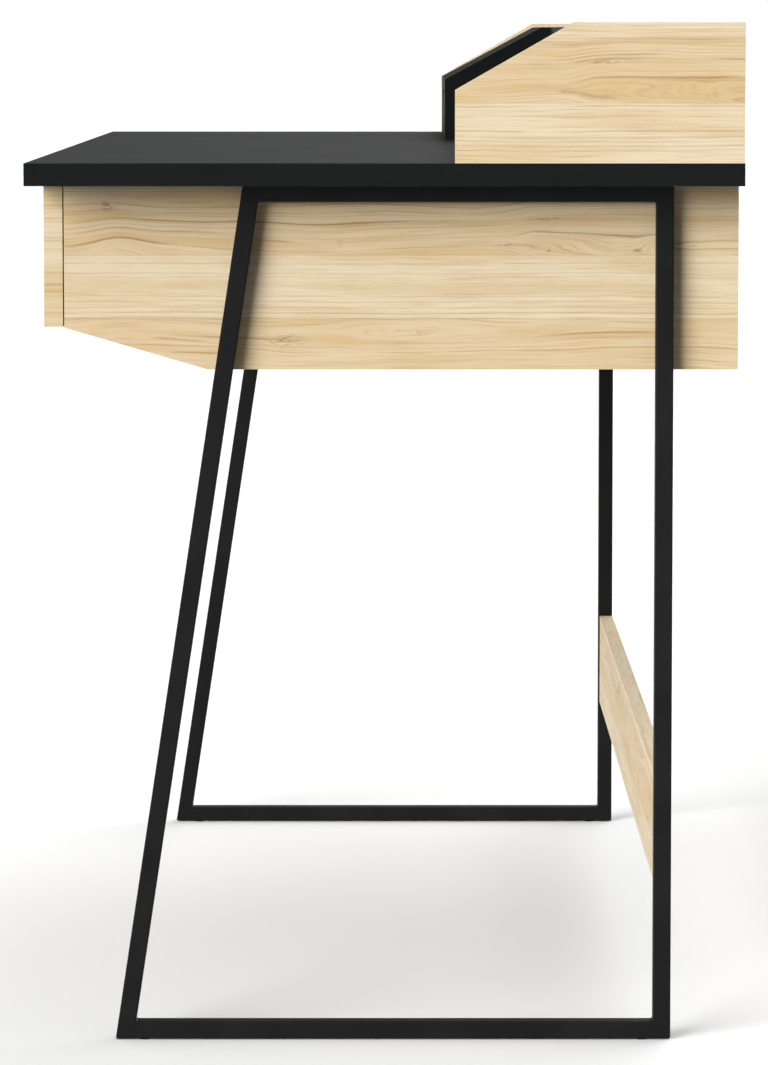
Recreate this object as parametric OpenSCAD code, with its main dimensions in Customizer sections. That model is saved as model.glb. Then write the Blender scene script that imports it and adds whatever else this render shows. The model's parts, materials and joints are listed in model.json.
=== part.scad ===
// Writing desk with a low hutch: a black top on two closed steel tube frames, a maple
// drawer case under the top, and a hutch with one lidded box at its left end.
// X is the width (+X is the right-hand end), -Y the front, +Z up. The origin is on the
// floor under the middle of the desk.

/* [Worktop] */
// Width of the worktop, end to end
top_w = 1100; // [1000:10:1300]
// Depth of the worktop, front to back
top_d = 600; // [580:5:680]
// Height of the worktop's upper face
top_z = 750; // [700:5:780]
// Thickness of the worktop
top_t = 19; // [16:0.5:25]

/* [Tube frames] */
// Outside size of the square tube
tube = 15; // [14:0.5:18]
// Wall of the square tube
tube_wall = 1.5; // [1:0.1:2]
// From the worktop's end to the frame's outer face
frame_inset = 45; // [35:1:60]
// From the worktop's front edge to the front leg's toe
toe_inset = 70; // [50:1:90]
// From the worktop's back edge to the back of the rear leg
heel_inset = 56; // [45:1:70]
// Backward lean of the front leg
leg_lean = 8.6; // [6:0.1:10]
// Height of the glides' pads under the frames
pad_h = 0.8; // [0.5:0.1:2]
// Height of the frame bolts above the floor
frame_bolt_z = 665; // [650:1:680]

/* [Drawer case] */
// Thickness of the side panels, the divider and the drawer fronts
panel_t = 16; // [15:0.5:18]
// Thickness of the case's thinner boards
board_t = 12; // [12:0.5:14]
// Height of the side panels
case_h = 157.5; // [150:0.5:175]
// Height of the drawer fronts
front_h = 119.3; // [110:0.1:125]
// From the worktop's front edge to the face of the drawer fronts
front_inset = 11.5; // [5:0.5:30]
// Gap behind the drawer fronts
front_gap = 1; // [1:0.1:3]
// Depth of the slanted cut under the side panels' front
slant_d = 121.5; // [90:0.5:140]

/* [Drawers] */
// Length of the drawer boxes' sides
drawer_len = 460; // [420:5:470]
// Height of the drawer boxes' sides
drawer_h = 86; // [70:1:86]
// Thickness of the drawer bottoms
bottom_t = 4; // [3:0.5:5]
// Width that each runner takes beside the drawer
runner_w = 13; // [12.8:0.1:14]

/* [Hutch] */
// Height of the end panels above the worktop
hutch_h = 117; // [100:1:125]
// From the worktop's back edge to the hutch's front edge
hutch_d = 241.2; // [225:0.1:260]
// Height of the end panels' straight front edge
hutch_lip = 60.7; // [50:0.1:65]
// Depth of the end panels' slanted edge
hutch_slant_d = 98.5; // [80:0.5:110]
// Width of the lidded box, worktop's end to the box's inner side
box_w = 305; // [260:5:400]
// How far the box's lid and the top board lie below the end panels' top
top_drop = 3.7; // [3:0.1:6]
// Radius of the lid's pivot pins
pivot_r = 2.5; // [2:0.1:3]

/* [Rear rail] */
// Height of the rail's lower edge
rail_z = 132; // [100:1:200]
// Height of the rail itself
rail_h = 94; // [70:1:110]
// Thickness of the rail
rail_t = 13.5; // [13:0.5:15]

/* [Hidden] */
$fn = 32;
eps = 0.01;      // how far a cutting shape runs past the face it cuts

maple = "#dcc9a3";
black_board = "#2b2d2d";
black_steel = "#262626";
zinc = "#b5b8ba";
brass = "#b9964c";
nylon = "#1e1e1e";

// Worktop and frames
under_z = top_z - top_t;
front_y = -top_d / 2;
back_y = top_d / 2 - 0.5;
frame_x = top_w / 2 - frame_inset;      // the frame's outer face
case_x = frame_x - tube;                // the frame's inner face and the case's outer face
toe_y = front_y + toe_inset;
heel_y = top_d / 2 - heel_inset;
tube_mid_x = case_x + tube / 2;

// Drawer case
top_reveal = 2;                         // gap between the worktop and the drawer fronts
low_reveal = 0.7;                       // the side panels' front edge below the drawer fronts
middle_reveal = 1.5;                    // from the middle of the desk to each drawer front
divider_setback = 2.5;                  // the divider's front edge behind the side panels'
bay_x = case_x - panel_t;               // inner face of the side panels
case_z = under_z - case_h;
front_z = under_z - top_reveal - front_h;   // lower edge of the drawer fronts
front_face_y = front_y + front_inset;
front_back_y = front_face_y + panel_t;
case_front_y = front_back_y + front_gap;
case_back_y = back_y - board_t;         // inner face of the case's back
slant_z = front_z - low_reveal;         // where the side panels' slanted cut starts

// Drawers
side_rise = 8;                          // the drawer box's lower edge above the front's
back_inset = 14;                        // the drawer's back in from the ends of its sides
side_z = front_z + side_rise;
runner_z = side_z + drawer_h / 2;
side_back_y = front_back_y + drawer_len;
box_in_x = panel_t / 2 + runner_w;      // drawer box, inner face of the runner gap
box_out_x = bay_x - runner_w;
groove_rise = 8;
groove_z = side_z + groove_rise;
groove_d = 6;
groove_play = 0.1;

// Runner sections: sheet, half heights of the three channels, and where their webs stand
sheet = 1.2;
outer_half = 22.5;
middle_half = 17.2;
inner_half = 12;
middle_web = 3;
inner_reach = 5.2;
outer_reach = runner_w - 0.8;
runner_setback = 4.5;                   // the runners' front end behind the drawer front
runner_y = front_back_y + runner_setback;
runner_len = drawer_len - 2 * runner_setback - 1;
ball_pitch = 45;
cage_len = 200;

// Hutch
hutch_y = top_d / 2 - hutch_d;
hutch_top_z = top_z + hutch_h;
hutch_in_x = top_w / 2 - panel_t;       // inner face of the end panels
board_top_z = hutch_top_z - top_drop;
box_reveal = 0.3;                       // the box behind and below the end panels' edges
box_face_y = hutch_y + box_reveal;
box_lip_z = top_z + hutch_lip - box_reveal;
lid_back_y = box_face_y + hutch_slant_d;
lid_slope = atan2(board_top_z - box_lip_z, lid_back_y - box_face_y);
box_div_x = -top_w / 2 + box_w;         // the box divider's face towards the open bay
lid_half = board_t / 2;
lid_gap = 1;                            // play at each end of the lid and behind it
lid_rest_gap = 0.3;                     // between the shut lid and the box's front
pivot = [lid_back_y + lid_half * tan(lid_slope / 2), board_top_z - lid_half];
hutch_board_y = pivot[0] + lid_half + lid_gap;
pin_grip = 10;
pin_play = 0.05;
notch_w = 60;
notch_r = 9;

// Fasteners
screw_play = 0.1;
wood_screw_r = 2;
small_screw_r = 1.75;
bolt_r = 3;
insert_r = 4.5;
insert_len = 12.5;
cam_r = 7.5;
cam_h = 9.5;
cam_edge = 24;                          // from the joint to the cam's centre
cam_axis = 6;                           // from the board's face to the pin's axis
cam_pin_r = 3;
cam_pin_end = 10;                       // how far the pin runs into the other panel
cam_pin_start = 3;
glide_r = 6;
glide_stem_r = 3;
bracket_leg = 18;
bracket_t = 2;
bracket_w = 30;

bar_screw_y = [-80, 60, 210];
hutch_screw_y = [90, 180, 270];
glide_y = [toe_y + 25, heel_y - 25];

// ---------------------------------------------------------------- helpers

// A board between two opposite corners
module board(low, high) {
    translate(low) cube(high - low);
}

// The children as they are for the right-hand side, mirrored for the left-hand side
module sided(side) {
    if (side < 0) mirror([1, 0, 0]) children();
    else children();
}

// An outline given as [y, z] points, extruded along X from x0 to x1
module slab(x0, x1) {
    translate([x0, 0, 0]) rotate([90, 0, 90]) linear_extrude(x1 - x0) children();
}

// An outline given as [x, z] points, extruded along Y from y0 to y1
module bar_y(y0, y1) {
    translate([0, y1, 0]) rotate([90, 0, 0]) linear_extrude(y1 - y0) children();
}

// A flush countersunk screw: its head's face is at the origin and its shank runs along +Z
module screw(len, r) {
    head_r = r * 1.7;
    difference() {
        union() {
            cylinder(h = head_r - r, r1 = head_r, r2 = r);
            cylinder(h = len, r = r);
        }
        translate([0, 0, -eps]) cylinder(h = head_r - r + eps, r = r * 0.66, $fn = 6);
    }
}

// The hole for that screw, countersunk in the same way
module screw_hole(len, r) {
    head_r = r * 1.7;
    translate([0, 0, -eps]) cylinder(h = head_r - r + eps, r1 = head_r + screw_play, r2 = r + screw_play);
    translate([0, 0, -eps]) cylinder(h = len + 0.5, r = r + screw_play);
}

// A cam lock: a disc let into a board's face at z = 0, its pin entering along +X
module cam() {
    color(zinc) difference() {
        cylinder(h = cam_h, r = cam_r - 0.15);
        translate([-4.5, -0.75, -eps]) cube([9, 1.5, 2]);
        translate([-0.75, -4.5, -eps]) cube([1.5, 9, 2]);
        translate([0, 0, cam_axis]) rotate([0, 90, 0]) cylinder(h = cam_r + 1, r = cam_pin_r + screw_play);
    }
}

module cam_pin() {
    color(zinc) translate([cam_pin_start, 0, cam_axis]) rotate([0, 90, 0])
        cylinder(h = cam_edge + cam_pin_end - cam_pin_start, r = cam_pin_r);
}

// The pocket and the pin's bore that a cam needs, in both of the panels it joins
module cam_bore() {
    translate([0, 0, -eps]) cylinder(h = cam_h + 0.2, r = cam_r);
    translate([0, 0, cam_axis]) rotate([0, 90, 0])
        cylinder(h = cam_edge + cam_pin_end + 0.5, r = cam_pin_r + screw_play);
}

// ---------------------------------------------------------------- where the fasteners sit

module at_frame_bolts() {
    leg_mid = toe_y + (frame_bolt_z - pad_h) * tan(leg_lean) + tube / cos(leg_lean) / 2;
    for (side = [-1, 1], y = [leg_mid, heel_y - tube / 2])
        sided(side) translate([frame_x, y, frame_bolt_z]) rotate([0, -90, 0]) children();
}

module at_worktop_screws() {
    for (side = [-1, 1], y = bar_screw_y)
        translate([side * tube_mid_x, y, under_z - tube]) children();
}

module at_hutch_screws() {
    for (side = [-1, 1], y = hutch_screw_y)
        translate([side * (top_w - panel_t) / 2, y, under_z]) children();
    for (y = [hutch_screw_y[0] + 20, hutch_screw_y[2] - 20])
        translate([box_div_x - board_t / 2, y, under_z]) children();
}

module at_hutch_back_screws() {
    for (x = [-400, 0, 400])
        translate([x, back_y, board_top_z - board_t / 2]) rotate([90, 0, 0]) children();
    for (z = [top_z + 25, top_z + 70])
        translate([box_div_x - board_t / 2, back_y, z]) rotate([90, 0, 0]) children();
}

module at_divider_screws() {
    for (y = [-80, 220])
        translate([0, y, case_z]) children();
}

module at_glides() {
    for (side = [-1, 1], y = glide_y)
        translate([side * tube_mid_x, y, 0]) children();
}

module at_brackets() {
    for (side = [-1, 1], y = [-190, 230]) {
        sided(side) translate([bay_x, y, under_z]) children();
        sided(side) translate([panel_t / 2, y, under_z]) mirror([1, 0, 0]) children();
    }
}

module at_bracket_screws() {
    at_brackets() {
        translate([-bracket_t, -6, -bracket_leg * 0.6]) rotate([0, 90, 0]) children();
        translate([-bracket_leg * 0.6, 6, -bracket_t]) children();
    }
}

// Cam locks of the fixed carcass: case bottom, case back, rear rail and hutch top
module at_cams() {
    for (side = [-1, 1]) sided(side) {
        for (y = [-100, 240]) translate([bay_x - cam_edge, y, case_z]) children();
        for (z = [case_z + 35, under_z - 30])
            translate([bay_x - cam_edge, case_back_y, z]) rotate([-90, 0, 0]) children();
        for (z = [rail_z + 22, rail_z + rail_h - 22])
            translate([case_x - cam_edge, heel_y, z]) rotate([90, 0, 0]) children();
        for (y = [hutch_board_y + 30, case_back_y - 30])
            translate([hutch_in_x - cam_edge, y, board_top_z - board_t]) children();
    }
}

// Cam locks that hold a drawer's front to its two sides, right-hand drawer
module at_drawer_cams() {
    for (z = [side_z + 22, side_z + drawer_h - 22]) {
        translate([box_out_x - board_t, front_back_y + cam_edge, z])
            rotate([-90, 0, 0]) rotate([0, 90, 0]) children();
        translate([box_in_x + board_t, front_back_y + cam_edge, z])
            mirror([1, 0, 0]) rotate([-90, 0, 0]) rotate([0, 90, 0]) children();
    }
}

// Screws through a drawer's sides into its back, right-hand drawer
module at_drawer_back_screws() {
    y = side_back_y - back_inset - board_t / 2;
    for (z = [side_z + 18, side_z + drawer_h - 12]) {
        translate([box_out_x, y, z]) rotate([0, -90, 0]) children();
        translate([box_in_x, y, z]) rotate([0, 90, 0]) children();
    }
}

// The four runners' case faces: +X of the child points from the case to the drawer
module at_right_runners() {
    translate([bay_x, 0, runner_z]) mirror([1, 0, 0]) children();
    translate([panel_t / 2, 0, runner_z]) children();
}

module at_runner_screws() {
    for (side = [-1, 1]) sided(side) at_right_runners()
        for (y = [-230, -40, 150])
            translate([sheet, y, 0]) rotate([0, -90, 0]) children();
}

module at_drawer_runner_screws() {
    at_right_runners()
        for (y = [-220, 130])
            translate([runner_w - sheet, y, 0]) rotate([0, 90, 0]) children();
}

frame_bolt_len = tube + 11;
bar_screw_len = tube + 14;
hutch_screw_len = top_t + 24;
back_screw_len = board_t + 24;
bracket_screw_len = bracket_t + 9;
runner_screw_len = sheet + 6;
member_screw_len = sheet + 8;

// ---------------------------------------------------------------- worktop and case

module worktop() {
    color(black_board) difference() {
        board([-top_w / 2, front_y, under_z], [top_w / 2, top_d / 2, top_z]);
        at_worktop_screws() screw_hole(bar_screw_len, wood_screw_r);
        at_hutch_screws() screw_hole(hutch_screw_len, wood_screw_r);
        at_bracket_screws() screw_hole(bracket_screw_len, small_screw_r);
    }
}

// Outline of the side panels and, shortened, of the divider
module case_outline(y0, y1, z0) {
    slope = (slant_z - case_z) / slant_d;
    y_foot = case_front_y + slant_d - (z0 - case_z) / slope;
    polygon([[y0, under_z], [y0, slant_z - (y0 - case_front_y) * slope],
             [y_foot, z0], [y1, z0], [y1, under_z]]);
}

module side_panel(side) {
    color(maple) difference() {
        sided(side) slab(bay_x, case_x) case_outline(case_front_y, back_y, case_z);
        at_frame_bolts() translate([0, 0, tube]) cylinder(h = insert_len + 0.5, r = insert_r);
        at_cams() cam_bore();
        at_bracket_screws() screw_hole(bracket_screw_len, small_screw_r);
        at_runner_screws() screw_hole(runner_screw_len, small_screw_r);
    }
}

module case_divider() {
    color(maple) difference() {
        slab(-panel_t / 2, panel_t / 2)
            case_outline(case_front_y + divider_setback, case_back_y, case_z + board_t);
        at_divider_screws() screw_hole(back_screw_len, wood_screw_r);
        at_bracket_screws() screw_hole(bracket_screw_len, small_screw_r);
        at_runner_screws() screw_hole(runner_screw_len, small_screw_r);
    }
}

module case_bottom() {
    color(maple) difference() {
        board([-bay_x, case_front_y + slant_d, case_z], [bay_x, case_back_y, case_z + board_t]);
        at_divider_screws() screw_hole(back_screw_len, wood_screw_r);
        at_cams() cam_bore();
    }
}

module case_back() {
    color(maple) difference() {
        board([-bay_x, case_back_y, case_z], [bay_x, back_y, under_z]);
        at_cams() cam_bore();
    }
}

module corner_brackets() {
    color(zinc) difference() {
        at_brackets() {
            board([-bracket_leg, -bracket_w / 2, -bracket_t], [0, bracket_w / 2, 0]);
            board([-bracket_t, -bracket_w / 2, -bracket_leg], [0, bracket_w / 2, 0]);
        }
        at_bracket_screws() screw_hole(bracket_screw_len, small_screw_r);
    }
}

// ---------------------------------------------------------------- tube frames

// Corner of the frame's side view, moved inwards by d: toe, heel, top rear, top front
function frame_corner(i, d) =
    i == 0 ? [toe_y + d * tan(leg_lean) + d / cos(leg_lean), pad_h + d] :
    i == 1 ? [heel_y - d, pad_h + d] :
    i == 2 ? [heel_y - d, under_z - d] :
             [toe_y + (under_z - pad_h - d) * tan(leg_lean) + d / cos(leg_lean), under_z - d];

// One hollow tube of the frame, between two mitred corners
module frame_tube(side, i) {
    j = (i + 1) % 4;
    color(black_steel) difference() {
        sided(side) difference() {
            slab(case_x, frame_x) polygon([frame_corner(i, 0), frame_corner(j, 0),
                                           frame_corner(j, tube), frame_corner(i, tube)]);
            slab(case_x + tube_wall, frame_x - tube_wall)
                polygon([frame_corner(i, tube_wall), frame_corner(j, tube_wall),
                         frame_corner(j, tube - tube_wall), frame_corner(i, tube - tube_wall)]);
        }
        at_frame_bolts() screw_hole(frame_bolt_len, bolt_r);
        at_worktop_screws() screw_hole(bar_screw_len, wood_screw_r);
        at_cams() cam_bore();
        at_glides() cylinder(h = pad_h + tube / 2, r = glide_stem_r + screw_play);
    }
}

module rear_rail() {
    color(maple) difference() {
        board([-case_x, heel_y - rail_t, rail_z], [case_x, heel_y, rail_z + rail_h]);
        at_cams() cam_bore();
    }
}

module floor_glides() {
    color(nylon) at_glides() {
        cylinder(h = pad_h, r = glide_r);
        cylinder(h = pad_h + tube_wall + 3, r = glide_stem_r);
    }
}

// ---------------------------------------------------------------- hutch

module hutch_end(side) {
    color(maple) difference() {
        sided(side) slab(hutch_in_x, top_w / 2)
            polygon([[hutch_y, top_z], [hutch_y, top_z + hutch_lip],
                     [hutch_y + hutch_slant_d, hutch_top_z], [back_y, hutch_top_z], [back_y, top_z]]);
        at_hutch_screws() screw_hole(hutch_screw_len, wood_screw_r);
        at_cams() cam_bore();
        at_pivot() pivot_bore(0);
    }
}

module hutch_back() {
    color(black_board) difference() {
        board([-hutch_in_x, case_back_y, top_z], [hutch_in_x, back_y, board_top_z]);
        at_hutch_back_screws() screw_hole(back_screw_len, wood_screw_r);
    }
}

module hutch_top() {
    color(black_board) difference() {
        board([-hutch_in_x, hutch_board_y, board_top_z - board_t], [hutch_in_x, case_back_y, board_top_z]);
        at_hutch_back_screws() screw_hole(back_screw_len, wood_screw_r);
        at_cams() cam_bore();
    }
}

module box_divider() {
    color(black_board) difference() {
        slab(box_div_x - board_t, box_div_x)
            polygon([[box_face_y, top_z], [box_face_y, box_lip_z], [lid_back_y, board_top_z],
                     [hutch_board_y, board_top_z], [hutch_board_y, board_top_z - board_t],
                     [case_back_y, board_top_z - board_t], [case_back_y, top_z]]);
        at_hutch_screws() screw_hole(hutch_screw_len, wood_screw_r);
        at_hutch_back_screws() screw_hole(back_screw_len, wood_screw_r);
        at_pivot() pivot_bore(0);
    }
}

// The box's front board, with a finger notch under the lid's edge
module box_front() {
    under_lid = box_lip_z - board_t / cos(lid_slope) - lid_rest_gap;
    mid_x = (box_div_x - board_t - hutch_in_x) / 2;
    color(black_board) difference() {
        slab(-hutch_in_x, box_div_x - board_t)
            polygon([[box_face_y, top_z], [box_face_y, under_lid],
                     [box_face_y + board_t, under_lid + board_t * tan(lid_slope)],
                     [box_face_y + board_t, top_z]]);
        for (x = [-1, 1])
            translate([mid_x + x * (notch_w / 2 - notch_r), box_face_y - 1, under_lid])
                rotate([-90, 0, 0]) cylinder(h = board_t + 2, r = notch_r);
        board([mid_x - notch_w / 2 + notch_r, box_face_y - 1, under_lid - notch_r],
              [mid_x + notch_w / 2 - notch_r, box_face_y + board_t + 1, top_z + hutch_h]);
        board([mid_x - notch_w / 2, box_face_y - 1, under_lid],
              [mid_x + notch_w / 2, box_face_y + board_t + 1, top_z + hutch_h]);
    }
}

// The lid's two ends, where +X points out of the lid
module at_pivot() {
    translate([box_div_x - board_t, pivot[0], pivot[1]]) children();
    translate([-hutch_in_x, pivot[0], pivot[1]]) mirror([1, 0, 0]) children();
}

// A bore for a pivot pin, on both sides of the lid's end
module pivot_bore(play) {
    translate([-pin_grip - lid_gap - 0.5, 0, 0]) rotate([0, 90, 0])
        cylinder(h = 2 * pin_grip + lid_gap + 0.5, r = pivot_r + play);
}

// The lid turns on a round back edge that is concentric with its pivot pins
module box_lid() {
    across = lid_half * [-sin(lid_slope), cos(lid_slope)];
    color(black_board) difference() {
        slab(-hutch_in_x + lid_gap, box_div_x - board_t - lid_gap) {
            polygon([[box_face_y, box_lip_z], [box_face_y, box_lip_z - board_t / cos(lid_slope)],
                     pivot - across, pivot + across]);
            translate(pivot) circle(lid_half);
        }
        at_pivot() pivot_bore(pin_play);
    }
}

module lid_pivot_pins() {
    color(zinc) at_pivot() translate([-pin_grip, 0, 0]) rotate([0, 90, 0])
        cylinder(h = 2 * pin_grip, r = pivot_r);
}

// ---------------------------------------------------------------- fasteners

module frame_bolts() {
    color(black_steel) at_frame_bolts() screw(frame_bolt_len, bolt_r);
}

module panel_inserts() {
    color(brass) at_frame_bolts() translate([0, 0, tube]) difference() {
        cylinder(h = insert_len, r = insert_r);
        translate([0, 0, -eps]) cylinder(h = insert_len + 2 * eps, r = bolt_r + screw_play);
    }
}

module worktop_screws() {
    color(black_steel) at_worktop_screws() screw(bar_screw_len, wood_screw_r);
}

module hutch_screws() {
    color(zinc) at_hutch_screws() screw(hutch_screw_len, wood_screw_r);
}

module hutch_back_screws() {
    color(black_steel) at_hutch_back_screws() screw(back_screw_len, wood_screw_r);
}

module divider_screws() {
    color(zinc) at_divider_screws() screw(back_screw_len, wood_screw_r);
}

module bracket_screws() {
    color(zinc) at_bracket_screws() screw(bracket_screw_len, small_screw_r);
}

module runner_screws() {
    color(zinc) at_runner_screws() screw(runner_screw_len, small_screw_r);
}

module cam_locks() {
    at_cams() cam();
}

module cam_pins() {
    at_cams() cam_pin();
}

// ---------------------------------------------------------------- runners

// A channel's outline: its web stands at x0, its two flanges reach x1
module channel(x0, x1, half, web_at) {
    translate([web_at, -half]) square([sheet, 2 * half]);
    translate([x0, half - sheet]) square([x1 - x0, sheet]);
    translate([x0, -half]) square([x1 - x0, sheet]);
}

module member(x0, x1, half, web_at) {
    bar_y(runner_y, runner_y + runner_len) channel(x0, x1, half, web_at);
}

module runner_outer_members() {
    color(zinc) difference() {
        for (side = [-1, 1]) sided(side) at_right_runners() member(0, outer_reach, outer_half, 0);
        at_runner_screws() screw_hole(runner_screw_len, small_screw_r);
    }
}

module runner_middle_members(side) {
    color(zinc) sided(side) at_right_runners()
        member(middle_web, outer_reach, middle_half, middle_web);
}

module runner_inner_members(side) {
    color(zinc) sided(side) difference() {
        at_right_runners() member(inner_reach, runner_w, inner_half, runner_w - sheet);
        at_drawer_runner_screws() screw_hole(member_screw_len, small_screw_r);
    }
}

// Two ball races, above and below the channel inside them: each a strip with its balls
module ball_cages(side, race_z, ball_r, x_mid) {
    y_mid = runner_y + runner_len / 2;
    color(zinc) sided(side) at_right_runners() for (row = [-1, 1]) {
        board([x_mid - 2.5, y_mid - cage_len / 2, row * race_z - 0.6],
              [x_mid + 2.5, y_mid + cage_len / 2, row * race_z + 0.6]);
        for (i = [-2:2]) translate([x_mid, y_mid + i * ball_pitch, row * race_z]) sphere(r = ball_r);
    }
}

module outer_ball_cages(side) {
    ball_cages(side, (outer_half - sheet + middle_half) / 2, 1.75, 8);
}

module inner_ball_cages(side) {
    ball_cages(side, (middle_half - sheet + inner_half) / 2, 1.7, 9);
}

// ---------------------------------------------------------------- drawers

module drawer_front(side) {
    color(maple) sided(side) difference() {
        board([middle_reveal, front_face_y, front_z], [case_x, front_back_y, front_z + front_h]);
        at_drawer_cams() cam_bore();
        drawer_bottom_space(groove_play);
    }
}

// The bottom board's own size, with some play round it when it cuts a groove
module drawer_bottom_space(play) {
    reach = groove_d + play;
    board([box_in_x + board_t - reach, front_back_y - reach, groove_z - play],
          [box_out_x - board_t + reach, side_back_y - back_inset + play, groove_z + bottom_t + play]);
}

module drawer_side(side, x0) {
    color(maple) sided(side) difference() {
        board([x0, front_back_y, side_z], [x0 + board_t, side_back_y, side_z + drawer_h]);
        drawer_bottom_space(groove_play);
        at_drawer_cams() cam_bore();
        at_drawer_back_screws() screw_hole(back_screw_len, small_screw_r);
        at_drawer_runner_screws() screw_hole(member_screw_len, small_screw_r);
    }
}

module drawer_back(side) {
    color(maple) sided(side) difference() {
        board([box_in_x + board_t, side_back_y - back_inset - board_t, groove_z + bottom_t + groove_play],
              [box_out_x - board_t, side_back_y - back_inset, side_z + drawer_h]);
        at_drawer_back_screws() screw_hole(back_screw_len, small_screw_r);
    }
}

module drawer_bottom(side) {
    color(maple) sided(side) drawer_bottom_space(0);
}

module drawer_cams(side) {
    sided(side) at_drawer_cams() cam();
}

module drawer_cam_pins(side) {
    sided(side) at_drawer_cams() cam_pin();
}

module drawer_screws(side) {
    color(zinc) sided(side) {
        at_drawer_back_screws() screw(back_screw_len, small_screw_r);
        at_drawer_runner_screws() screw(member_screw_len, small_screw_r);
    }
}

// ---------------------------------------------------------------- nodes

worktop();
side_panel(1);  // right_side_panel
side_panel(-1);  // left_side_panel
case_divider();
case_bottom();
case_back();
frame_tube(1, 3);  // right_front_leg
frame_tube(1, 1);  // right_rear_leg
frame_tube(1, 2);  // right_top_bar
frame_tube(1, 0);  // right_bottom_bar
frame_tube(-1, 3);  // left_front_leg
frame_tube(-1, 1);  // left_rear_leg
frame_tube(-1, 2);  // left_top_bar
frame_tube(-1, 0);  // left_bottom_bar
rear_rail();
floor_glides();
hutch_end(1);  // hutch_right_end
hutch_end(-1);  // hutch_left_end
hutch_back();
hutch_top();
box_divider();
box_front();
box_lid();
lid_pivot_pins();
runner_outer_members();
runner_screws();
frame_bolts();
panel_inserts();
worktop_screws();
hutch_screws();
hutch_back_screws();
divider_screws();
corner_brackets();
bracket_screws();
cam_locks();
cam_pins();
drawer_front(1);  // right_drawer_front
drawer_side(1, box_out_x - board_t);  // right_drawer_outer_side
drawer_side(1, box_in_x);  // right_drawer_inner_side
drawer_back(1);  // right_drawer_back
drawer_bottom(1);  // right_drawer_bottom
runner_inner_members(1);  // right_runner_inner_members
drawer_cams(1);  // right_drawer_cams
drawer_cam_pins(1);  // right_drawer_cam_pins
drawer_screws(1);  // right_drawer_screws
runner_middle_members(1);  // right_runner_middle_members
outer_ball_cages(1);  // right_outer_ball_cages
inner_ball_cages(1);  // right_inner_ball_cages
drawer_front(-1);  // left_drawer_front
drawer_side(-1, box_out_x - board_t);  // left_drawer_outer_side
drawer_side(-1, box_in_x);  // left_drawer_inner_side
drawer_back(-1);  // left_drawer_back
drawer_bottom(-1);  // left_drawer_bottom
runner_inner_members(-1);  // left_runner_inner_members
drawer_cams(-1);  // left_drawer_cams
drawer_cam_pins(-1);  // left_drawer_cam_pins
drawer_screws(-1);  // left_drawer_screws
runner_middle_members(-1);  // left_runner_middle_members
outer_ball_cages(-1);  // left_outer_ball_cages
inner_ball_cages(-1);  // left_inner_ball_cages
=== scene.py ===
"""Looks of the writing desk: finishes, softened edges, welded frames, bolts, light and camera."""
import json
import math
import bmesh
import bpy
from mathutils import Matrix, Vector


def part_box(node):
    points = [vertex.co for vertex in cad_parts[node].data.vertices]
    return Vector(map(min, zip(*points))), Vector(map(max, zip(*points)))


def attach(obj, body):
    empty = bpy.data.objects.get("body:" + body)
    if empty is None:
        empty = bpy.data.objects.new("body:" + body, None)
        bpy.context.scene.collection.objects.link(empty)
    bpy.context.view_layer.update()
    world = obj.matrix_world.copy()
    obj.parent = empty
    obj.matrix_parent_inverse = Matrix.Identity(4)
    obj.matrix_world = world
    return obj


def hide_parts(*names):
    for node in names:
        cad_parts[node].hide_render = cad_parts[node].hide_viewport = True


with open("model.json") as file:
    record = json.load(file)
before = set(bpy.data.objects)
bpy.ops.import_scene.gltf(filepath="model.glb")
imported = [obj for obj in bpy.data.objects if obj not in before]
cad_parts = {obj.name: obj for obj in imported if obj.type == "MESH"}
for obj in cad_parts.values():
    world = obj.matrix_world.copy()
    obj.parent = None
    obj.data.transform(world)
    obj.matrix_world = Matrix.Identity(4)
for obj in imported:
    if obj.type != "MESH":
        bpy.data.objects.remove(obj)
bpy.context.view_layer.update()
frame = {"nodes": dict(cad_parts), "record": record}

MM = 0.001
X, Y, Z = 0, 1, 2


# ---------------------------------------------------------------- node trees

def linear(red, green, blue):
    """A colour given as 0 to 255 screen values, as Blender's linear values."""
    def one(value):
        value /= 255
        return value / 12.92 if value <= 0.04045 else ((value + 0.055) / 1.055) ** 2.4
    return (one(red), one(green), one(blue), 1.0)


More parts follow.
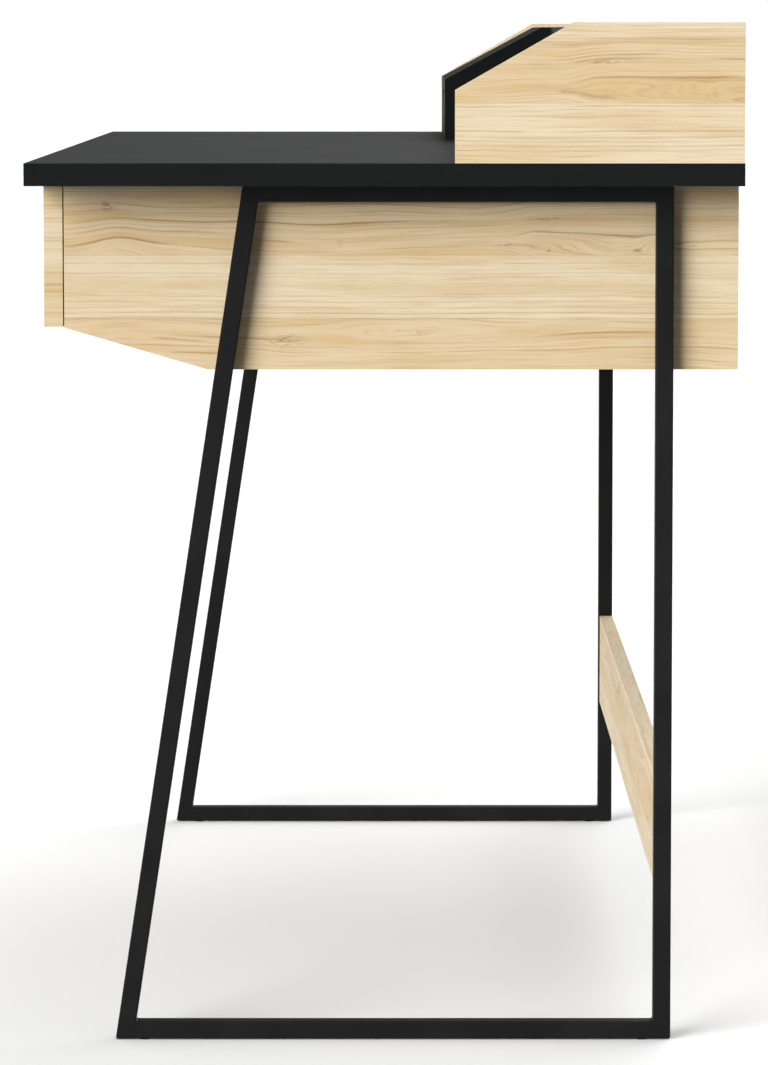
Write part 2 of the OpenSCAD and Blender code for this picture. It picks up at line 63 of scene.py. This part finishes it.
class Shader:
    """A material's node tree, with short calls for the nodes that the finishes are made of."""

    def __init__(self, name):
        self.material = bpy.data.materials.new(name)
        self.material.use_nodes = True
        self.tree = self.material.node_tree
        self.tree.nodes.clear()
        self.surface = self.node("ShaderNodeBsdfPrincipled")
        output = self.node("ShaderNodeOutputMaterial")
        self.tree.links.new(self.surface.outputs["BSDF"], output.inputs["Surface"])
        metres = self.node("ShaderNodeTexCoord").outputs["Object"]
        scaled = self.node("ShaderNodeVectorMath", operation="SCALE")
        self.put(scaled.inputs[0], metres)
        scaled.inputs["Scale"].default_value = 1 / MM
        self.place = scaled.outputs["Vector"]       # in millimetres

    def node(self, kind, **settings):
        made = self.tree.nodes.new(kind)
        for key, value in settings.items():
            setattr(made, key, value)
        return made

    def put(self, socket, value):
        if isinstance(value, bpy.types.NodeSocket):
            self.tree.links.new(value, socket)
        else:
            socket.default_value = value

    def set(self, **values):
        """Values or outputs for the surface's sockets; underscores stand for spaces."""
        for name, value in values.items():
            self.put(self.surface.inputs[name.replace("_", " ")], value)

    def math(self, operation, a, b=0.0):
        made = self.node("ShaderNodeMath", operation=operation)
        for socket, value in zip(made.inputs, (a, b)):
            self.put(socket, value)
        return made.outputs[0]

    def minus(self, a, b):
        return self.math("SUBTRACT", a, b)

    def over(self, a, b):
        return self.math("DIVIDE", a, b)

    def add(self, first, *rest):
        for value in rest:
            first = self.math("ADD", first, value)
        return first

    def times(self, first, *rest):
        for value in rest:
            first = self.math("MULTIPLY", first, value)
        return first

    def join(self, x, y, z=0.0):
        made = self.node("ShaderNodeCombineXYZ")
        for socket, value in zip(made.inputs, (x, y, z)):
            self.put(socket, value)
        return made.outputs[0]

    def split(self, vector):
        made = self.node("ShaderNodeSeparateXYZ")
        self.put(made.inputs[0], vector)
        return made.outputs

    def noise(self, vector, scale=1.0, detail=2.0, roughness=0.5):
        made = self.node("ShaderNodeTexNoise")
        self.put(made.inputs["Vector"], vector)
        for name, value in (("Scale", scale), ("Detail", detail), ("Roughness", roughness)):
            made.inputs[name].default_value = value
        return made.outputs["Fac"]

    def chance(self, value):
        """A random number from 0 to 1 for each whole number."""
        made = self.node("ShaderNodeTexWhiteNoise", noise_dimensions="1D")
        self.put(made.inputs["W"], value)
        return made.outputs["Value"]

    def fit(self, value, low, high, to_low=0.0, to_high=1.0):
        """Turns low to high smoothly into to_low to to_high, and stays there beyond them."""
        made = self.node("ShaderNodeMapRange", interpolation_type="SMOOTHSTEP")
        for name, number in (("Value", value), ("From Min", low), ("From Max", high),
                             ("To Min", to_low), ("To Max", to_high)):
            self.put(made.inputs[name], number)
        return made.outputs["Result"]

    def bell(self, value, reach):
        """1 where value is 0, falling to 0 at a few times reach."""
        ratio = self.over(value, reach)
        return self.math("EXPONENT", self.times(ratio, ratio, -1.0))

    def mix(self, factor, a, b, blend="MIX"):
        made = self.node("ShaderNodeMix", data_type="RGBA", blend_type=blend)
        self.put(made.inputs["Factor"], factor)
        self.put(made.inputs["A"], a)
        self.put(made.inputs["B"], b)
        return made.outputs["Result"]

    def bump(self, height, depth, strength=1.0):
        """Raises the surface by up to depth, in millimetres."""
        made = self.node("ShaderNodeBump")
        made.inputs["Strength"].default_value = strength
        made.inputs["Distance"].default_value = depth * MM
        self.put(made.inputs["Height"], height)
        self.set(Normal=made.outputs["Normal"])

    def edges(self, reach):
        """0 on flat faces and up to 1 within reach millimetres of a sharp edge."""
        rounded = self.node("ShaderNodeBevel", samples=6)
        rounded.inputs["Radius"].default_value = reach * MM
        flat = self.node("ShaderNodeNewGeometry").outputs["Normal"]
        agreement = self.node("ShaderNodeVectorMath", operation="DOT_PRODUCT")
        self.put(agreement.inputs[0], rounded.outputs["Normal"])
        self.put(agreement.inputs[1], flat)
        return self.fit(agreement.outputs["Value"], 0.995, 0.85)


# ---------------------------------------------------------------- maple laminate

MAPLE_PALE = linear(233, 217, 186)
MAPLE_WARM = linear(219, 191, 145)
MAPLE_LINE = linear(178, 140, 92)
MAPLE_DARK = linear(152, 110, 64)
MAPLE_KNOT = linear(146, 102, 58)
LIGHT_SHARE = 0.96              # albedo against the lit colours above

# In millimetres. Pairs are for the straight planks and for the figured ones between them.
PLANK = 54.0                    # width of the printed planks
WANDER = (4.5, 19.0)            # how far the lines wander
BOLD_SPACING = (7.5, 11.0)
THIN_SPACING = 4.2


def lens(s, du, dv, rise, length):
    """Lines that part at a tip and run on above and below it, opening along the grain."""
    opening = s.times(s.fit(du, -4.0, 26.0), s.fit(du, length * 0.4, length, 1.0, 0.0))
    side = s.math("TANH", s.over(dv, rise * 1.05))
    near = s.bell(dv, rise * 3.2)
    return s.times(side, opening, near, -rise)


def arch(s, du, dv, rise, reach):
    """Lines that hump over a swelling; below its base they run straight."""
    hump = s.times(s.bell(du, reach), s.fit(dv, -1.0, 1.0), s.bell(dv, reach * 1.4))
    return s.times(hump, -rise)


def streaks(s, u, v, length, width, seed, **settings):
    """Noise drawn out along the grain, in patches of about length by width millimetres."""
    return s.noise(s.join(s.times(u, 1 / length), s.times(v, 1 / width), seed), **settings)


def growth(s, u, q, seed, seed_step, spacing, sharpness, faintest, plainest):
    """Growth lines: a sharp dark side and a slow fade, each line with its own strength. Along the
    grain a line goes out where its noise is under faintest and is whole above plainest."""
    wander = s.noise(s.join(s.times(q, 1 / 31), seed + seed_step, 0.0), detail=1.0)
    at = s.add(s.over(q, spacing), s.times(wander, 2.4))
    line = s.math("FLOOR", at)
    edge = s.math("POWER", s.minus(1.0, s.math("FRACT", at)), sharpness)
    weight = s.math("POWER", s.chance(s.add(line, seed * 7.1 + seed_step)), 1.7)
    fade = s.noise(s.join(s.times(u, 1 / 85), s.times(line, 3.3), seed), detail=2.0)
    return s.times(edge, weight, s.fit(fade, faintest, plainest))


def draw_strokes(s, colour, u, q, fibre, strokes):
    """Single bold lines that follow the grain and thin out at both ends."""
    for u0, v0, strength, length in strokes:
        away = s.math("ABSOLUTE", s.minus(u, u0))
        line = s.bell(s.minus(q, v0), 0.75)
        ends = s.fit(away, length, length * 0.4)
        shown = s.times(line, ends, s.fit(fibre, 0.2, 0.6, 0.5, 1.0), strength)
        colour = s.mix(shown, colour, MAPLE_DARK)
    return colour


def draw_stains(s, colour, u, v, q, fibre, seed, stains):
    """Small knots and dark spots, broken up into dashes along the grain."""
    if not stains:
        return colour
    dash = streaks(s, u, q, 7.5, 1.2, seed + 3.0, detail=1.5)
    broken = s.add(s.fit(dash, 0.46, 0.6, 0.0, 0.8), s.fit(fibre, 0.4, 0.65, 0.0, 0.2))
    for u0, v0, height, length in stains:
        spot = s.times(s.bell(s.minus(u, u0), length), s.bell(s.minus(v, v0), height))
        colour = s.mix(s.times(spot, broken, 0.75), colour, MAPLE_KNOT)
    return colour


def maple(name, along, across, seed, phase=0.0, calm=1.0, shapes=(), stains=(), strokes=()):
    """Printed maple: planks of straight and figured grain. calm scales how far the lines wander,
    shapes bend them, stains darken a spot, and strokes are single bold lines that follow them.
    Each starts with where it is, along and across the board in the object's millimetres."""
    s = Shader("maple_" + name)
    place = s.split(s.place)
    through = X + Y + Z - along - across
    u = place[along]
    facing = s.split(s.node("ShaderNodeTexCoord").outputs["Normal"])[across]
    v = s.add(place[across], s.times(place[through], s.math("ABSOLUTE", facing), 0.6))

    # The plank that a point is in, and q, its place across the lines where they bend
    plank_at = s.over(s.add(v, phase), PLANK)
    plank = s.math("FLOOR", plank_at)
    figured = s.math("PINGPONG", plank, 1.0)
    luck = s.chance(s.add(plank, seed * 3.7))
    shift = s.add(s.times(luck, 900.0), seed * 131.0)
    flow = streaks(s, s.add(u, shift), v, 150, 40, s.times(plank, 5.3), detail=1.5, roughness=0.35)
    reach = s.fit(figured, 0.0, 1.0, *(wander * calm for wander in WANDER))
    warp = s.times(s.minus(flow, 0.5), reach)
    ripple = streaks(s, u, v, 22, 9, seed)
    q = s.add(v, s.times(warp, 2.0), s.times(s.minus(ripple, 0.5), 1.3))
    for u0, v0, kind, rise, length in shapes:
        bend = kind(s, s.minus(u, u0), s.minus(place[across], v0), rise, length)
        q = s.add(q, s.times(bend, figured))

    bold = growth(s, u, q, seed, 0.0, s.fit(figured, 0.0, 1.0, *BOLD_SPACING), 13.0, 0.36, 0.66)
    thin = growth(s, u, q, seed, 40.0, THIN_SPACING, 6.0, 0.25, 0.5)
    fibre = streaks(s, u, q, 48, 0.6, seed, detail=3.0, roughness=0.65)
    fleck = streaks(s, u, v, 4.2, 0.5, seed, detail=1.0)
    cloud = streaks(s, u, q, 170, 13, seed + 9.0, detail=2.0)

    warmth = s.add(s.fit(cloud, 0.38, 0.68, 0.0, 0.55), s.times(figured, 0.4), s.times(luck, 0.1))
    colour = s.mix(warmth, MAPLE_PALE, MAPLE_WARM)
    colour = s.mix(s.times(thin, 0.82), colour, MAPLE_LINE)
    colour = s.mix(s.fit(fibre, 0.46, 0.76, 0.0, 0.5), colour, MAPLE_LINE)
    strength = s.times(bold, s.fit(figured, 0.0, 1.0, 0.85, 1.0), s.fit(fibre, 0.2, 0.6, 0.6, 1.0))
    colour = s.mix(strength, colour, MAPLE_DARK)
    flecks = s.times(s.fit(fleck, 0.66, 0.76), s.fit(cloud, 0.45, 0.6), 0.35)
    colour = s.mix(flecks, colour, MAPLE_DARK)
    colour = draw_strokes(s, colour, u, q, fibre, strokes)
    stain_v = s.add(place[across], s.times(warp, 0.3))
    colour = draw_stains(s, colour, u, stain_v, q, fibre, seed, stains)
    seam = s.math("ABSOLUTE", s.minus(s.math("FRACT", s.add(plank_at, 0.5)), 0.5))
    colour = s.mix(s.fit(seam, 0.0, 0.012, 0.3, 0.0), colour, MAPLE_LINE)
    worn = s.times(s.edges(0.9), s.fit(s.noise(s.place, 0.05), 0.35, 0.7, 0.08, 0.3))
    colour = s.mix(worn, colour, MAPLE_LINE)
    shade = (LIGHT_SHARE, LIGHT_SHARE, LIGHT_SHARE, 1.0)
    s.set(Base_Color=s.mix(1.0, colour, shade, "MULTIPLY"))
    s.set(Roughness=s.fit(fibre, 0.3, 0.8, 0.46, 0.62), Specular_IOR_Level=0.2)
    s.bump(s.add(s.times(fibre, 0.5), s.times(bold, -0.6), s.times(thin, -0.25)), 0.06, 0.6)
    return s.material


# ---------------------------------------------------------------- other finishes

def black_laminate(name, level, roughness):
    """Matte black laminate with a fine pebbled press texture. level is its specular level."""
    s = Shader(name)
    pebble = s.noise(s.place, 1.1, 2.0, 0.55)
    haze = s.noise(s.place, 0.011, 3.0, 0.6)
    colour = s.mix(s.fit(haze, 0.35, 0.7), linear(15, 18, 17), linear(18, 21, 20))
    colour = s.mix(s.fit(pebble, 0.55, 0.75, 0.0, 0.5), colour, linear(34, 37, 36))
    worn = s.times(s.edges(0.8), s.fit(s.noise(s.place, 0.03, 4.0), 0.4, 0.7, 0.1, 0.6))
    s.set(Base_Color=s.mix(worn, colour, linear(66, 68, 66)))
    s.set(Roughness=s.add(s.fit(haze, 0.3, 0.7, roughness, roughness + 0.02), s.times(pebble, 0.08)))
    s.set(Specular_IOR_Level=level)
    s.bump(pebble, 0.05, 0.5)
    return s.material


def black_steel():
    """Powder coat: near black, with the fine orange peel that it cures with."""
    s = Shader("black_steel")
    peel = s.noise(s.place, 0.8, 2.0, 0.45)
    grit = s.noise(s.place, 3.2, 1.0)
    haze = s.noise(s.place, 0.014, 3.0, 0.6)
    colour = s.mix(s.fit(haze, 0.35, 0.7), linear(26, 26, 26), linear(31, 31, 31))
    worn = s.times(s.edges(1.2), s.fit(s.noise(s.place, 0.04, 4.0), 0.42, 0.7, 0.08, 0.5))
    s.set(Base_Color=s.mix(worn, colour, linear(52, 52, 52)))
    s.set(Roughness=s.fit(s.add(s.times(peel, 0.7), s.times(grit, 0.3)), 0.3, 0.7, 0.44, 0.58))
    s.set(Specular_IOR_Level=0.1)
    s.bump(s.add(peel, s.times(grit, 0.35)), 0.07, 0.5)
    return s.material


def zinc():
    """Bright zinc plate on rolled steel, with draw lines along the runners."""
    s = Shader("zinc")
    x, y, z = s.split(s.place)
    draw = s.noise(s.join(s.times(x, 3.0), s.times(y, 0.03), s.times(z, 3.0)), 1.0, 3.0, 0.6)
    bloom = s.noise(s.place, 0.05, 4.0, 0.6)
    colour = s.mix(s.fit(bloom, 0.35, 0.7), linear(196, 199, 201), linear(170, 173, 172))
    s.set(Base_Color=s.mix(s.fit(draw, 0.4, 0.8, 0.0, 0.35), colour, linear(140, 143, 145)))
    s.set(Metallic=1.0, Roughness=s.fit(draw, 0.3, 0.7, 0.26, 0.42))
    s.bump(draw, 0.015, 0.4)
    return s.material


def brass_insert():
    """Turned brass, slightly dulled."""
    s = Shader("brass_insert")
    x, y, z = s.split(s.place)
    turned = s.noise(s.join(s.times(x, 4.0), s.times(y, 0.2), s.times(z, 0.2)), 1.0, 2.0)
    tarnish = s.noise(s.place, 0.3, 3.0)
    s.set(Base_Color=s.mix(s.fit(tarnish, 0.4, 0.7), linear(201, 166, 92), linear(160, 124, 64)))
    s.set(Metallic=1.0, Roughness=s.fit(turned, 0.3, 0.7, 0.28, 0.45))
    s.bump(turned, 0.02, 0.4)
    return s.material


def nylon():
    """Moulded nylon with a spark-eroded grain."""
    s = Shader("nylon")
    grain = s.noise(s.place, 2.4, 2.0)
    scuff = s.noise(s.place, 0.4, 4.0)
    s.set(Base_Color=s.mix(s.fit(scuff, 0.45, 0.75), linear(28, 28, 28), linear(50, 49, 47)))
    s.set(Roughness=s.fit(grain, 0.3, 0.7, 0.5, 0.66), Specular_IOR_Level=0.4)
    s.bump(grain, 0.04, 0.5)
    return s.material


FINISHES = {"black_laminate": black_laminate("black_laminate", 0.135, 0.36),
            "black_steel": black_steel(), "zinc": zinc(), "brass_insert": brass_insert(),
            "nylon": nylon()}

# The hutch's black boards are duller than the worktop
BOX_BLACK = black_laminate("black_laminate_box", 0.26, 0.58)
BOX_BOARDS = ("box_front", "box_divider", "box_lid", "hutch_top", "hutch_back")

# By the ending of a maple board's name: the way its grain runs, and the way its lines are stacked
GRAIN = {"case_bottom": (X, Y), "case_back": (X, Z), "case_divider": (Y, Z), "side_panel": (Y, Z),
         "rear_rail": (X, Z), "right_end": (Y, Z), "left_end": (Y, Z), "drawer_front": (X, Z),
         "drawer_back": (X, Z), "drawer_bottom": (X, Y), "outer_side": (Y, Z), "inner_side": (Y, Z)}


def grain_of(node):
    return next(ways for ending, ways in GRAIN.items() if node.endswith(ending))


def places(node, marks, along, across):
    """Marks given as shares of a board's length and height, in the object's millimetres."""
    low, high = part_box(node)
    size = high - low
    return [((low[along] + size[along] * along_share) / MM,
             (low[across] + size[across] * across_share) / MM, *rest)
            for along_share, across_share, *rest in marks.get(node, ())]


# What the maple of the two end boards and the rail shows. Each mark is its share along the board,
# its share up it, and then the shape's kind, rise and length, the stain's height and length, or
# the stroke's strength and half length, in millimetres.
SHAPES = {
    "right_side_panel": [(0.08, 0.615, arch, 10.0, 24.0), (0.655, 0.665, lens, 9.0, 500.0),
                         (0.85, 0.64, lens, 4.0, 300.0), (0.40, 0.2, lens, 4.5, 160.0)],
    "hutch_right_end": [(0.38, 0.52, lens, 9.0, 500.0), (0.87, 0.475, lens, 4.0, 300.0)],
    "rear_rail": [(0.7, 0.5, lens, 8.0, 400.0)],
}
STAINS = {
    "right_side_panel": [(0.065, 0.88, 4.0, 8.0), (0.655, 0.667, 2.2, 5.0), (0.41, 0.685, 2.5, 2.2),
                         (0.718, 0.638, 1.2, 1.6), (0.72, 0.81, 1.2, 16.0), (0.565, 0.805, 1.0, 5.0),
                         (0.85, 0.64, 1.3, 4.0), (0.325, 0.16, 5.0, 14.0)],
    "hutch_right_end": [(0.38, 0.52, 2.0, 4.5), (0.55, 0.475, 1.1, 1.6), (0.87, 0.475, 1.2, 3.5),
                        (0.5, 0.72, 1.6, 22.0)],
}
STROKES = {
    "right_side_panel": [(0.075, 0.657, 0.9, 60.0), (0.12, 0.742, 0.6, 90.0), (0.30, 0.815, 0.8, 190.0),
                         (0.31, 0.709, 0.5, 22.0), (0.17, 0.148, 0.6, 30.0), (0.195, 0.082, 0.6, 28.0),
                         (0.80, 0.20, 0.6, 60.0), (0.78, 0.69, 0.7, 85.0)],
    "hutch_right_end": [(0.6, 0.842, 0.5, 100.0), (0.7, 0.876, 0.4, 80.0), (0.55, 0.734, 0.5, 60.0),
                        (0.72, 0.545, 0.6, 90.0), (0.46, 0.49, 0.6, 30.0)],
}

# Where the planks begin on a board, and how calm its lines are; other boards take them as they come
PHASES = {"right_side_panel": 31.5, "hutch_right_end": 10.0}
CALM = {"right_side_panel": 0.5, "hutch_right_end": 0.5}


def dress(node, seed):
    """Gives a CAD node the finish that the record's slot for it names."""
    piece = frame["nodes"][node]
    name = next(part["material_slot"] for part in frame["record"]["subparts"] if part["node"] == node)
    if name == "maple":
        along, across = grain_of(node)
        marks = (places(node, kind, along, across) for kind in (SHAPES, STAINS, STROKES))
        phase = PHASES.get(node, seed * 17.0)
        finish = maple(node, along, across, seed, phase, CALM.get(node, 1.0), *marks)
    else:
        finish = BOX_BLACK if node in BOX_BOARDS else FINISHES[name]
    piece.data.materials.clear()
    piece.data.materials.append(finish)


for number, node in enumerate(sorted(frame["nodes"])):
    dress(node, number)


# ---------------------------------------------------------------- softened edges

# In millimetres and degrees. The radii are the most that a bevel may take.
SAME_POINT = 0.01       # points this close are merged
SAME_PLANE = 0.6        # faces that differ by no more than this are one
SHARP = 40.0            # edges sharper than this are bevelled
BOARD_RADIUS = 0.6
RADII = {"worktop": 1.0, "box_lid": 0.8, "corner_brackets": 0.4}


def soften(piece, radius):
    """Bevels the sharp edges of a CAD piece by modifiers alone. The clamp holds the bevel to 0.16 mm
    or less on most boards; the box front, the lid and the drawer bottoms get the whole radius."""
    weld = piece.modifiers.new("weld", "WELD")
    weld.merge_threshold = SAME_POINT * MM
    flat = piece.modifiers.new("flat", "DECIMATE")
    flat.decimate_type = "DISSOLVE"
    flat.angle_limit = math.radians(SAME_PLANE)
    bevel = piece.modifiers.new("bevel", "BEVEL")
    bevel.width = radius * MM
    bevel.segments = 2
    bevel.limit_method = "ANGLE"
    bevel.angle_limit = math.radians(SHARP)
    bevel.use_clamp_overlap = True
    bevel.harden_normals = True
    bevel.miter_outer = "MITER_ARC"


for node, piece in frame["nodes"].items():
    finish = piece.data.materials[0].name
    if node in RADII or finish.startswith(("maple", "black_laminate")):
        soften(piece, RADII.get(node, BOARD_RADIUS))


# ---------------------------------------------------------------- welded frames

TOUCHING = 0.02 * MM    # points this close are taken as one
TUBE_RADIUS = 1.6       # of the tubes' rounded edges
SHORTEST = 5.0          # of the edges that are rounded
CREASE = 32.0           # degrees from which the shading shows an edge


def welded_frame(side):
    """One closed frame: its four tubes as one skin, the mitres ground flush, the edges rounded."""
    tubes = [f"{side}_{part}" for part in ("front_leg", "rear_leg", "top_bar", "bottom_bar")]
    skin = bmesh.new()
    for node in tubes:
        skin.from_mesh(frame["nodes"][node].data)
    bmesh.ops.remove_doubles(skin, verts=skin.verts, dist=TOUCHING)
    skin.normal_update()
    # The tubes' cut ends, which slant and now lie inside the skin
    mitres = [face for face in skin.faces
              if abs(face.normal.x) < 0.01 and min(abs(face.normal.y), abs(face.normal.z)) > 0.5]
    bmesh.ops.delete(skin, geom=mitres, context="FACES")
    bmesh.ops.dissolve_limit(skin, angle_limit=math.radians(1.0), verts=skin.verts, edges=skin.edges)
    low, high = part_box(tubes[0])

    def outside(vert):
        return min(abs(vert.co.x - low.x), abs(vert.co.x - high.x)) < TOUCHING

    corners = [edge for edge in skin.edges
               if edge.is_manifold and edge.calc_length() > SHORTEST * MM
               and all(map(outside, edge.verts)) and edge.calc_face_angle(0.0) > math.radians(SHARP)]
    bmesh.ops.bevel(skin, geom=corners, offset=TUBE_RADIUS * MM, segments=4, profile=0.5,
                    affect="EDGES", clamp_overlap=True)
    mesh = bpy.data.meshes.new(f"{side}_frame")
    skin.to_mesh(mesh)
    skin.free()
    mesh.shade_smooth()
    mesh.set_sharp_from_angle(angle=math.radians(CREASE))
    piece = bpy.data.objects.new(f"{side}_frame", mesh)
    bpy.context.scene.collection.objects.link(piece)
    even = piece.modifiers.new("even", "WEIGHTED_NORMAL")
    even.keep_sharp = True
    mesh.materials.append(FINISHES["black_steel"])
    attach(piece, "desk")
    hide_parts(*tubes)


for side in ("right", "left"):
    welded_frame(side)


# ---------------------------------------------------------------- frame bolts

SOCKET_DEPTH = 2.1      # of the CAD bolts' hex sockets
SOCKET_REACH = 2.4      # from a socket's middle to just past its corners
SHALLOW = 0.6           # depth of the sockets once the coat has nearly filled them


def coated_bolts():
    """The bolts high on the legs. The coat nearly fills their sockets, so that they barely show."""
    mesh = frame["nodes"]["frame_bolts"].data.copy()
    mesh.name = "coated_frame_bolts"
    mesh.materials.clear()
    mesh.materials.append(FINISHES["black_steel"])
    floor_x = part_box("frame_bolts")[1].x - SOCKET_DEPTH * MM
    rings = {}
    for vert in mesh.vertices:
        if abs(abs(vert.co.x) - floor_x) < TOUCHING:
            rings.setdefault((vert.co.x > 0, vert.co.y > 0), []).append(vert)
    for ring in rings.values():
        middle = sum((vert.co for vert in ring), Vector()) / len(ring)
        for vert in ring:
            if (vert.co - middle).length < SOCKET_REACH * MM:
                vert.co.x += math.copysign(SOCKET_DEPTH - SHALLOW, vert.co.x) * MM
    piece = bpy.data.objects.new("coated_frame_bolts", mesh)
    bpy.context.scene.collection.objects.link(piece)
    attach(piece, "desk")
    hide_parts("frame_bolts")


coated_bolts()


# ---------------------------------------------------------------- stage, light and camera

FLOOR_REACH = 60.0      # metres from the middle to each side
FLOOR_TOP = -0.05       # millimetres, just clear of the glides
LAMP_DISTANCE = 3.0     # metres; a sun lamp's light doesn't depend on it


def floor():
    """A plain pale floor that the desk stands on."""
    mesh = bpy.data.meshes.new("floor")
    corners = [(x * FLOOR_REACH, y * FLOOR_REACH, FLOOR_TOP * MM)
               for x, y in ((-1, -1), (1, -1), (1, 1), (-1, 1))]
    mesh.from_pydata(corners, [], [(0, 1, 2, 3)])
    piece = bpy.data.objects.new("floor", mesh)
    bpy.context.scene.collection.objects.link(piece)
    s = Shader("floor")
    s.set(Base_Color=(0.9, 0.9, 0.9, 1.0), Roughness=0.9, Specular_IOR_Level=0.0)
    below = s.node("ShaderNodeNewGeometry").outputs["Backfacing"]
    s.set(Alpha=s.minus(1.0, below))    # unseen from underneath
    mesh.materials.append(s.material)
    piece.visible_diffuse = False       # the object isn't lit from below


def surround():
    """A dim room with a lit white band round the horizon."""
    world = bpy.data.worlds.new("surround")
    world.use_nodes = True
    tree = world.node_tree
    sky = tree.nodes["Background"]
    place = tree.nodes.new("ShaderNodeTexCoord").outputs["Generated"]
    height = tree.nodes.new("ShaderNodeSeparateXYZ")
    ramp = tree.nodes.new("ShaderNodeValToRGB")
    shift = tree.nodes.new("ShaderNodeMath")
    shift.operation = "MULTIPLY_ADD"
    shift.inputs[1].default_value = 0.5
    shift.inputs[2].default_value = 0.5
    tree.links.new(place, height.inputs[0])
    tree.links.new(height.outputs["Z"], shift.inputs[0])
    tree.links.new(shift.outputs[0], ramp.inputs["Fac"])
    tree.links.new(ramp.outputs["Color"], sky.inputs["Color"])
    # From straight down at 0 to straight up at 1, with the brightness there
    stops = ((0.0, 0.06), (0.47, 0.06), (0.485, 1.02), (0.53, 1.02), (0.555, 0.07), (1.0, 0.07))
    steps = ramp.color_ramp.elements
    for share, value in stops[1:-1]:
        steps.new(share)
    for step, (share, value) in zip(steps, stops):
        step.position = share
        step.color = (value, value, value, 1.0)
    bpy.context.scene.world = world


def softbox(name, azimuth, elevation, spread, brightness, glare=True):
    """A wide, even light from far away. brightness is what a white card that faces it sends back;
    without glare it isn't mirrored, so that black boards stay black against it."""
    turn, rise = math.radians(azimuth), math.radians(elevation)
    away = Vector((math.sin(turn) * math.cos(rise), -math.cos(turn) * math.cos(rise), math.sin(rise)))
    lamp = bpy.data.lights.new(name, "SUN")
    lamp.angle = math.radians(spread)
    lamp.energy = brightness * math.pi
    piece = bpy.data.objects.new(name, lamp)
    piece.location = away * LAMP_DISTANCE
    piece.rotation_euler = away.to_track_quat("Z", "Y").to_euler()
    bpy.context.scene.collection.objects.link(piece)
    piece.visible_glossy = glare


def camera():
    """Looks at the right-hand end from a little above the worktop, and slightly down."""
    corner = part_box("worktop")[1]
    distance, sideways, above = 3.502, 0.011, 0.111      # metres from the worktop's right end
    tilt = 4.24         # degrees below level
    lens_data = bpy.data.cameras.new("camera")
    lens_data.lens = 142.46
    lens_data.sensor_width = 36.0
    lens_data.shift_x = -0.0128
    lens_data.shift_y = -0.179
    lens_data.clip_end = 500.0
    piece = bpy.data.objects.new("camera", lens_data)
    piece.location = (corner.x + distance, sideways, corner.z + above)
    piece.rotation_euler = (math.radians(90 - tilt), 0.0, math.radians(90))
    bpy.context.scene.collection.objects.link(piece)
    bpy.context.scene.camera = piece


floor()
surround()
softbox("key", 46, 18, 40, 1.38, glare=False)
softbox("rear", 232, 28, 60, 0.6)
softbox("overhead", 0, 90, 80, 0.5)
camera()
settings = bpy.context.scene.view_settings
settings.view_transform = "Standard"
settings.look = "None"
